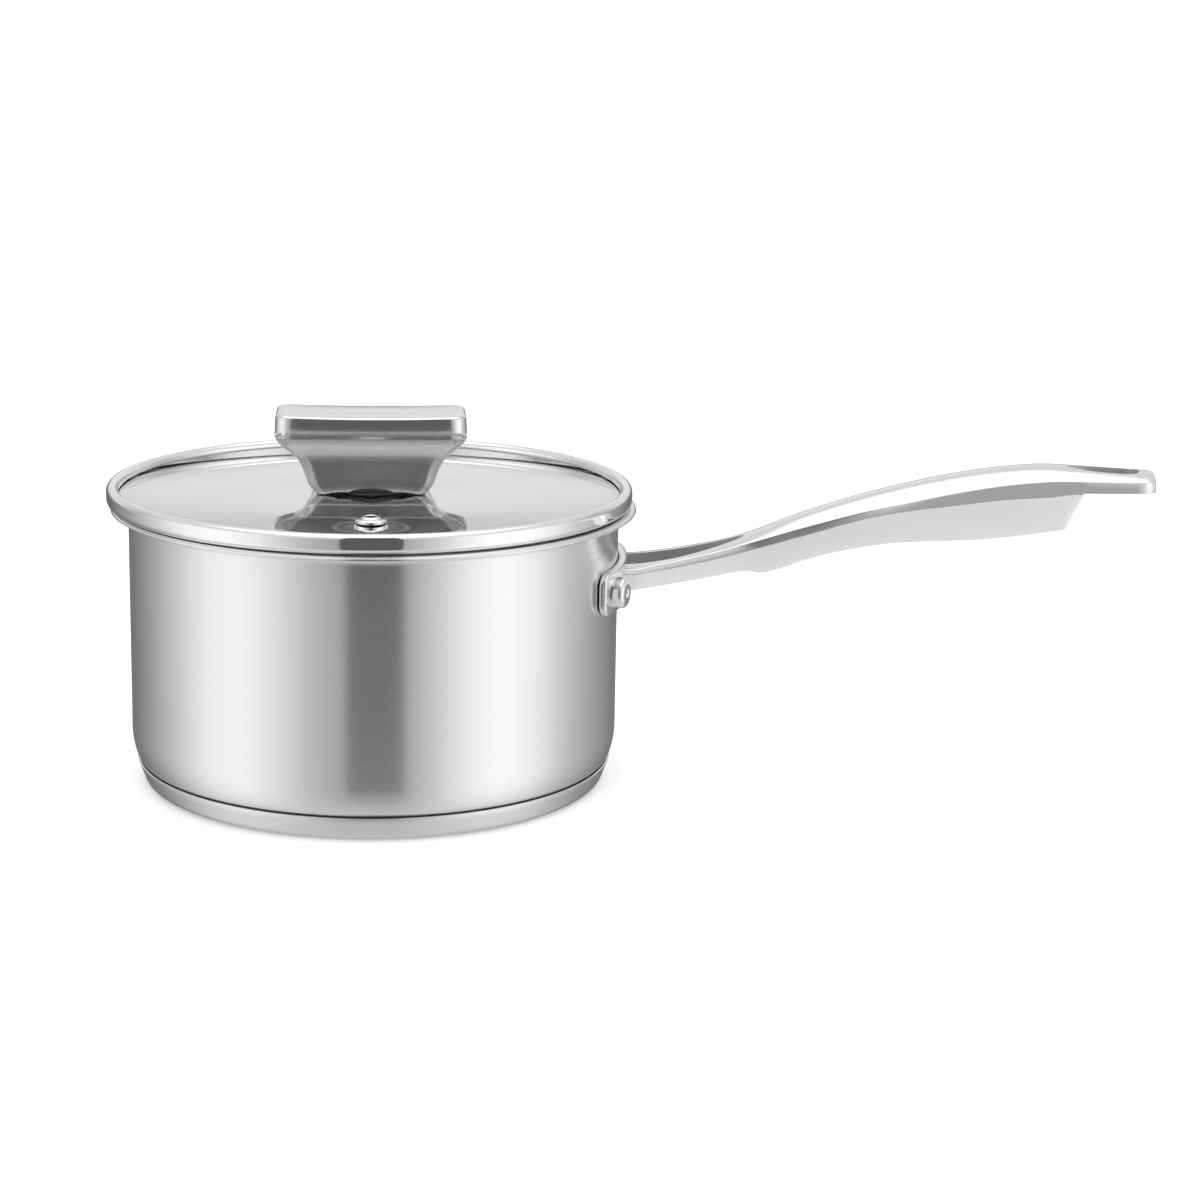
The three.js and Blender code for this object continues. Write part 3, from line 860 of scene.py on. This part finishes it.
slotRadius = handleSize["slotEndRadius"]
slotCentre = handleSize["slotEnd"] - slotRadius
slotFlat = slotCentre + slotRadius * roundShare(slotRadius)
eyeHalf = handleSize["eyeHalfWidth"]
eyeStart, eyeEnd = handleSize["eye"]
nearMiddle, farMiddle = handleSize["eyeMiddles"]
eyeFlats = (nearMiddle - (nearMiddle - eyeStart) * roundShare(eyeHalf),
            farMiddle + (eyeEnd - farMiddle) * roundShare(eyeHalf))


def holeHalf(x):
    flat = handleSize["holeEndFlat"]
    if x <= slotCentre:
        return max(slotHalf(x), slotRadius)
    if x <= slotFlat:
        return max(math.sqrt(max(slotRadius ** 2 - (x - slotCentre) ** 2, 0)), flat)
    if eyeFlats[0] < x < eyeFlats[1]:
        near = (nearMiddle - x) / (nearMiddle - eyeStart)
        far = (x - farMiddle) / (eyeEnd - farMiddle)
        return eyeHalf * math.sqrt(1 - max(near, far, 0) ** 2)
    return flat


# The underside rises steeply where the skirt ends before the eye.
def bottomOf(x):
    size = handleSize
    end = size["skirtEnd"]
    if x <= end:
        return underside(x)
    rise = min((x - end) / (size["skirtEndTop"] - end), 1)
    return underside(end) + (size["tangBottom"] - underside(end)) * rise


def foldOf(x):
    return max(crease(x), bottomOf(x) + handleSize["leastSide"])


def draftOf(x):
    return handleSize["draft"] * min((foldOf(x) - bottomOf(x)) / handleSize["tallSide"], 1)


def shoulderHalf(x):
    return halfWidth(x) - handleSize["shoulderLean"]


# Steps that grow closer towards the end
def roundEnd(start, end, steps):
    return [start + (end - start) * math.sin(step / steps * math.pi / 2) for step in range(steps)]


def handleStations():
    size = handleSize
    hollowStart, hollowEnd = size["hollow"]
    stations = evenly(size["start"], 96, 3) + evenly(96, slotCentre, 22) + roundEnd(slotCentre, slotFlat, 7)
    stations += [slotFlat] + evenly(slotFlat + 0.8, hollowStart, 8) + evenly(hollowStart, hollowEnd, 52)
    stations += [hollowEnd, 255.4, size["skirtEnd"], eyeFlats[0]]
    stations += sorted(eyeFlats[0] + nearMiddle - x for x in roundEnd(eyeFlats[0], nearMiddle, 14))
    stations += evenly(nearMiddle, farMiddle, 4)[1:] + roundEnd(farMiddle, eyeFlats[1], 9)
    stations += [eyeFlats[1], *size["tipStations"], size["tip"]]
    stations = sorted(set(round(x, 3) for x in stations))
    return [x for x, after in zip(stations, stations[1:] + [math.inf]) if after - x > size["stationGap"]]


# The top is a grid whose two middle rows follow the edges of the slot and the eye.
def makeHandleTop(bm):
    size = handleSize
    stations, shares = handleStations(), size["rowShares"]
    columns, rows = len(stations), len(shares) * 2
    bmesh.ops.create_grid(bm, x_segments=columns - 1, y_segments=rows - 1, size=1)
    for vert in bm.verts:
        x = stations[round((vert.co.x + 1) / 2 * (columns - 1))]
        row = round((vert.co.y + 1) / 2 * (rows - 1))
        side = -1 if row < len(shares) else 1
        fromMiddle = len(shares) - 1 - row if side < 0 else row - len(shares)
        hole, edge = holeHalf(x), shoulderHalf(x)
        across = hole + (edge - hole) * shares[fromMiddle]
        drop = 1 - min(across / edge, 1) ** size["crown"]
        vert.co = (x, side * across, shoulder(x) + (ridge(x) - shoulder(x)) * drop)
    holes = []
    for face in bm.faces:
        centre = face.calc_center_median()
        if abs(centre.y) < 0.05 and (centre.x < slotFlat or eyeFlats[0] < centre.x < eyeFlats[1]):
            holes.append(face)
    bmesh.ops.delete(bm, geom=holes, context="FACES")
    bmesh.ops.recalc_face_normals(bm, faces=bm.faces[:])
    if sum(face.normal.z for face in bm.faces) < 0:
        bmesh.ops.reverse_faces(bm, faces=bm.faces[:])


# The top is pulled down to the underside, and the sides are cut across for the crease and their curve.
def makeHandleBar(bm):
    size = handleSize
    makeHandleTop(bm)
    upper = set(vertsIn(bmesh.ops.extrude_face_region(bm, geom=bm.faces[:])["geom"]))
    for vert in bm.verts:
        if vert in upper:
            continue
        x = vert.co.x
        hole = min(holeHalf(x), shoulderHalf(x) - 0.01)
        share = min(max((abs(vert.co.y) - hole) / (shoulderHalf(x) - hole), 0), 1)
        spread = 1 - (1 - share) ** size["spread"]
        across = hole + (halfWidth(x) - draftOf(x) - hole) * spread
        vert.co.y = math.copysign(across, vert.co.y)
        vert.co.z = bottomOf(x)
    bmesh.ops.recalc_face_normals(bm, faces=bm.faces[:])
    sides = []
    for edge in bm.edges:
        first, second = edge.verts
        if (first in upper) == (second in upper):
            continue
        x = (first.co.x + second.co.x) / 2
        outer = abs(first.co.y) + abs(second.co.y) > shoulderHalf(x) + halfWidth(x) - draftOf(x) - 0.1
        if outer or x > size["tip"] - 0.1:
            sides.append(edge)
    cuts = size["sideCuts"]
    cut = bmesh.ops.subdivide_edges(bm, edges=sides, cuts=cuts, use_grid_fill=True)["geom_inner"]
    for vert in vertsIn(cut):
        x = vert.co.x
        bottom, fold = bottomOf(x), foldOf(x)
        share = (vert.co.z - bottom) / (shoulder(x) - bottom)
        straight = shoulderHalf(x) * share + (halfWidth(x) - draftOf(x)) * (1 - share)
        if abs(vert.co.y) < straight - 0.3:
            continue
        down = (round((1 - share) * (cuts + 1)) - 1) / cuts
        vert.co.y = math.copysign(halfWidth(x) - draftOf(x) * down ** 2, vert.co.y)
        vert.co.z = fold + (bottom - fold) * down


def hollowSkirt(bm):
    size = handleSize
    start, end = size["hollow"]
    flat = size["holeEndFlat"]
    chosen = []
    for face in bm.faces:
        centre = face.calc_center_median()
        x = centre.x
        if face.normal.z > -0.7 or not start < x < end:
            continue
        limit = flat + (shoulderHalf(x) - flat) * size["hollowShare"]
        limit *= (halfWidth(x) - draftOf(x)) / shoulderHalf(x)
        outermost = max(abs(vert.co.y) for vert in face.verts)
        if outermost < limit and centre.z < bottomOf(x) + 1:
            chosen.append(face)
    roof = vertsIn(bmesh.ops.extrude_face_region(bm, geom=chosen)["geom"])
    bmesh.ops.delete(bm, geom=chosen, context="FACES")
    for vert in roof:
        vert.co.z = shoulder(vert.co.x) - size["skirtWall"] - 0.1 * abs(vert.co.y)


# Satin below the crease, polished above it, and rough inside the slot, the eye and the hollow
def chooseFinishes(bm):
    for face in bm.faces:
        centre = face.calc_center_median()
        x = min(centre.x, 290)
        side = abs(centre.y) > halfWidth(x) - draftOf(x) - 0.4
        hole = abs(centre.y) < holeHalf(x) + 0.3
        upright = abs(face.normal.z) < 0.6 and centre.x < handleSize["tip"] - 0.6
        roof = face.normal.z < -0.5 and centre.z > bottomOf(centre.x) + 1
        if side and centre.z < crease(x) - 0.1:
            face.material_index = 1
        elif (hole and upright) or roof:
            face.material_index = 2
        else:
            face.material_index = 0


def makeHandle(polished, satin, rough):
    bar = bmesh.new()
    makeHandleBar(bar)
    hollowSkirt(bar)
    bmesh.ops.recalc_face_normals(bar, faces=bar.faces[:])
    roundOff(bar, handleSize["edge"], 3, handleSize["edgeSharper"], clamp=False)
    chooseFinishes(bar)
    barMesh = bpy.data.meshes.new("bar")
    bar.to_mesh(barMesh)
    bar.free()
    bm = bmesh.new()
    makeFlange(bm)
    bm.from_mesh(barMesh)
    bpy.data.meshes.remove(barMesh)
    finishPiece(bm, "handle_piece", "pan", [polished, satin, rough], 40)


cameraView = {
    "lens": 84.3,
    "sensor": 36,
    "away": 1.0319,
    "height": 0.3110,
    "turn": 3.5,  # degrees the camera stands round towards the handle
    "yaw": 4.69,
    "pitch": -13.28,
    "roll": 1.077,
}

studio = {
    "level": 1.2,
    # degrees round from the camera's side, brightness
    "round": [(-180, 0.22), (-155, 0.12), (-130, 0.28), (-105, 0.56), (-85, 0.84), (-66, 0.92), (-48, 0.74),
              (-30, 0.46), (-16, 0.34), (14, 0.34), (28, 0.56), (45, 0.86), (62, 1.0), (80, 0.86),
              (100, 0.54), (125, 0.32), (155, 0.14), (180, 0.22)],
    "sky": 0.62,
    "softBox": 0.50,
    "ground": 0.55,
    "backGlow": 0.48,
    "cardWidth": 0.165,
    "cardAway": 0.395,
    "cardLow": -0.12,
    "cardHigh": 0.60,
    "cardGlow": 0.11,
    "floorHalf": 6,
    "floorTone": 0.86,
    "floorGlow": 0.185,
    "lampPower": 18.0,
    "lampSize": (1.6, 1.2),
    "lampPlace": (0.1, -0.1, 1.5),
}


def makeCamera():
    yaw, pitch = math.radians(cameraView["yaw"]), math.radians(cameraView["pitch"])
    ahead = Vector((math.sin(yaw) * math.cos(pitch), math.cos(yaw) * math.cos(pitch), math.sin(pitch)))
    right = Vector((math.cos(yaw), -math.sin(yaw), 0))
    up = right.cross(ahead)
    roll = math.radians(cameraView["roll"])
    right, up = right * math.cos(roll) + up * math.sin(roll), up * math.cos(roll) - right * math.sin(roll)
    axes = Matrix((right, up, -ahead)).transposed().to_4x4()
    spot = Matrix.Translation((0, -cameraView["away"], cameraView["height"]))
    data = bpy.data.cameras.new("camera")
    data.lens = cameraView["lens"]
    data.sensor_width = cameraView["sensor"]
    data.clip_end = 50
    camera = linkObject("camera", data)
    camera.matrix_world = Matrix.Rotation(math.radians(cameraView["turn"]), 4, "Z") @ spot @ axes
    bpy.context.scene.camera = camera


# A white room that is seen as plain white, and lights the steel with soft bright and dim walls.
def makeWorld():
    world = bpy.data.worlds.new("studio")
    bpy.context.scene.world = world
    tree = Tree(world)
    direction = tree.node("ShaderNodeTexCoord", None, None, 0)
    turned = tree.node("ShaderNodeMapping", {"vector_type": "POINT"},
                       {"Vector": direction, "Rotation": (0, 0, math.radians(-cameraView["turn"]))})
    x, y, z = tree.separate(turned)
    angle = tree.node("ShaderNodeMath", {"operation": "ARCTAN2"}, {0: x, 1: 0.0 - y})
    stops = [(degrees / 360 + 0.5, value) for degrees, value in studio["round"]]
    walls = tree.node("ShaderNodeValToRGB", {"stops": stops}, {0: angle / math.tau + 0.5})
    back = y.ramp(0.35, 0.9) * studio["backGlow"] * z.ramp(-0.05, 0.18)
    level = walls + back
    high = z.ramp(0.35, 0.60)
    overhead = z.ramp(0.72, 0.90)
    low = (0.0 - z).ramp(0.55, 0.85)
    level = level * (1.0 - high) + high * studio["sky"] + overhead * studio["softBox"]
    level = level * (1.0 - low) + low * studio["ground"]
    colour = tree.combine(level * 0.995, level, level * 1.004)
    lit = tree.node("ShaderNodeBackground", None, {"Color": colour, "Strength": studio["level"]})
    plain = tree.node("ShaderNodeBackground", None, {"Color": tint(1.0), "Strength": 1.0})
    seen = tree.node("ShaderNodeLightPath", None, None, 0)
    mixed = tree.node("ShaderNodeMixShader", None, {0: seen, 1: lit, 2: plain})
    tree.node("ShaderNodeOutputWorld", None, {"Surface": mixed})


# A plain sheet of the studio, which glows a little
def makeSheet(name, bm, tone, roughness, glow):
    mesh = bpy.data.meshes.new(name)
    bm.to_mesh(mesh)
    bm.free()
    material, tree = newTree(name)
    surface(tree, {"Base Color": tint(tone), "Roughness": roughness, "Specular IOR Level": 0.0,
                   "Emission Color": tint(1.0), "Emission Strength": glow})
    mesh.materials.append(material)
    return linkObject(name, mesh)


def makeFloor():
    bm = bmesh.new()
    bmesh.ops.create_grid(bm, x_segments=2, y_segments=2, size=studio["floorHalf"])
    floor = makeSheet("floor", bm, studio["floorTone"], 0.9, studio["floorGlow"])
    floor.visible_glossy = False


# A dark card stands before the pan, and only the steel sees it.
def makeCard():
    bm = bmesh.new()
    bmesh.ops.create_grid(bm, x_segments=1, y_segments=1, size=0.5)
    tall = studio["cardHigh"] - studio["cardLow"]
    middle = (studio["cardHigh"] + studio["cardLow"]) / 2
    spot = Matrix.Rotation(math.radians(cameraView["turn"]), 4, "Z")
    spot = spot @ Matrix.Translation((0, -studio["cardAway"], middle)) @ Matrix.Rotation(math.pi / 2, 4, "X")
    place(bm, spot @ Matrix.Diagonal((studio["cardWidth"], tall, 1, 1)))
    card = makeSheet("dark_card", bm, 0.0, 1.0, studio["cardGlow"])
    card.visible_camera = False
    card.visible_diffuse = False
    card.visible_transmission = False
    card.visible_shadow = False


def makeLamp():
    data = bpy.data.lights.new("soft_box", "AREA")
    data.shape = "RECTANGLE"
    data.size, data.size_y = studio["lampSize"]
    data.energy = studio["lampPower"]
    lamp = linkObject("soft_box", data)
    lamp.location = studio["lampPlace"]
    lamp.visible_camera = False
    lamp.visible_glossy = False


makeCamera()
makeWorld()
makeFloor()
makeCard()
makeLamp()
bpy.context.scene.view_settings.view_transform = "Standard"
print("studio ready")

panSteel = turnedSteel("pan_satin_steel", 0.88, 0.27, 0.92, grain=0.5)
baseSteel = turnedSteel("base_turned_steel", 0.84, 0.32, 0.6, ringMarks=0.5)
handlePolished = polishedSteel("handle_polished_steel", 0.86, 0.16)
handleSatin = grainedSteel("handle_satin_steel", 0.88, 0.46, metal=0.58)
handleRough = castAluminium("handle_inner_steel", 0.62)
rivetSteel = polishedSteel("rivet_polished_steel", 0.88, 0.14)
rimSteel = polishedSteel("rim_polished_steel", 0.90, 0.07)
knobSteel = grainedSteel("knob_fine_satin_steel", 0.84, 0.17, 0.35)
lidAxis = (lidCentre.x * mm, lidCentre.y * mm)
fastenerSteel = turnedSteel("fastener_turned_steel", 0.68, 0.30, 0.3, centre=lidAxis)
coreAluminium = castAluminium("core_rolled_aluminium", 0.78)
silicone = mouldedSilicone("moulded_silicone", 0.03)
lidGlass = toughenedGlass("toughened_glass", (0.93, 0.935, 0.935, 1), 0.06, 1.25)
print("finishes ready")

makePanShell(panSteel)
makeBaseCap(baseSteel)
makeHandle(handlePolished, handleSatin, handleRough)
makeRivet("rivet_near", -1, rivetSteel)
makeRivet("rivet_far", 1, rivetSteel)
makeRim(rimSteel)
makeGlass(lidGlass)
makeVent(rimSteel, silicone)
makeRings({"silicone": silicone, "fastener_steel": fastenerSteel})
makeBossAndScrew(fastenerSteel)
makeKnob(knobSteel)

# the aluminium core is shut in between the pan and its cap, and stays as the frame has it
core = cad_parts["core_disc"]
core.material_slots[0].material = coreAluminium
print("pieces ready")
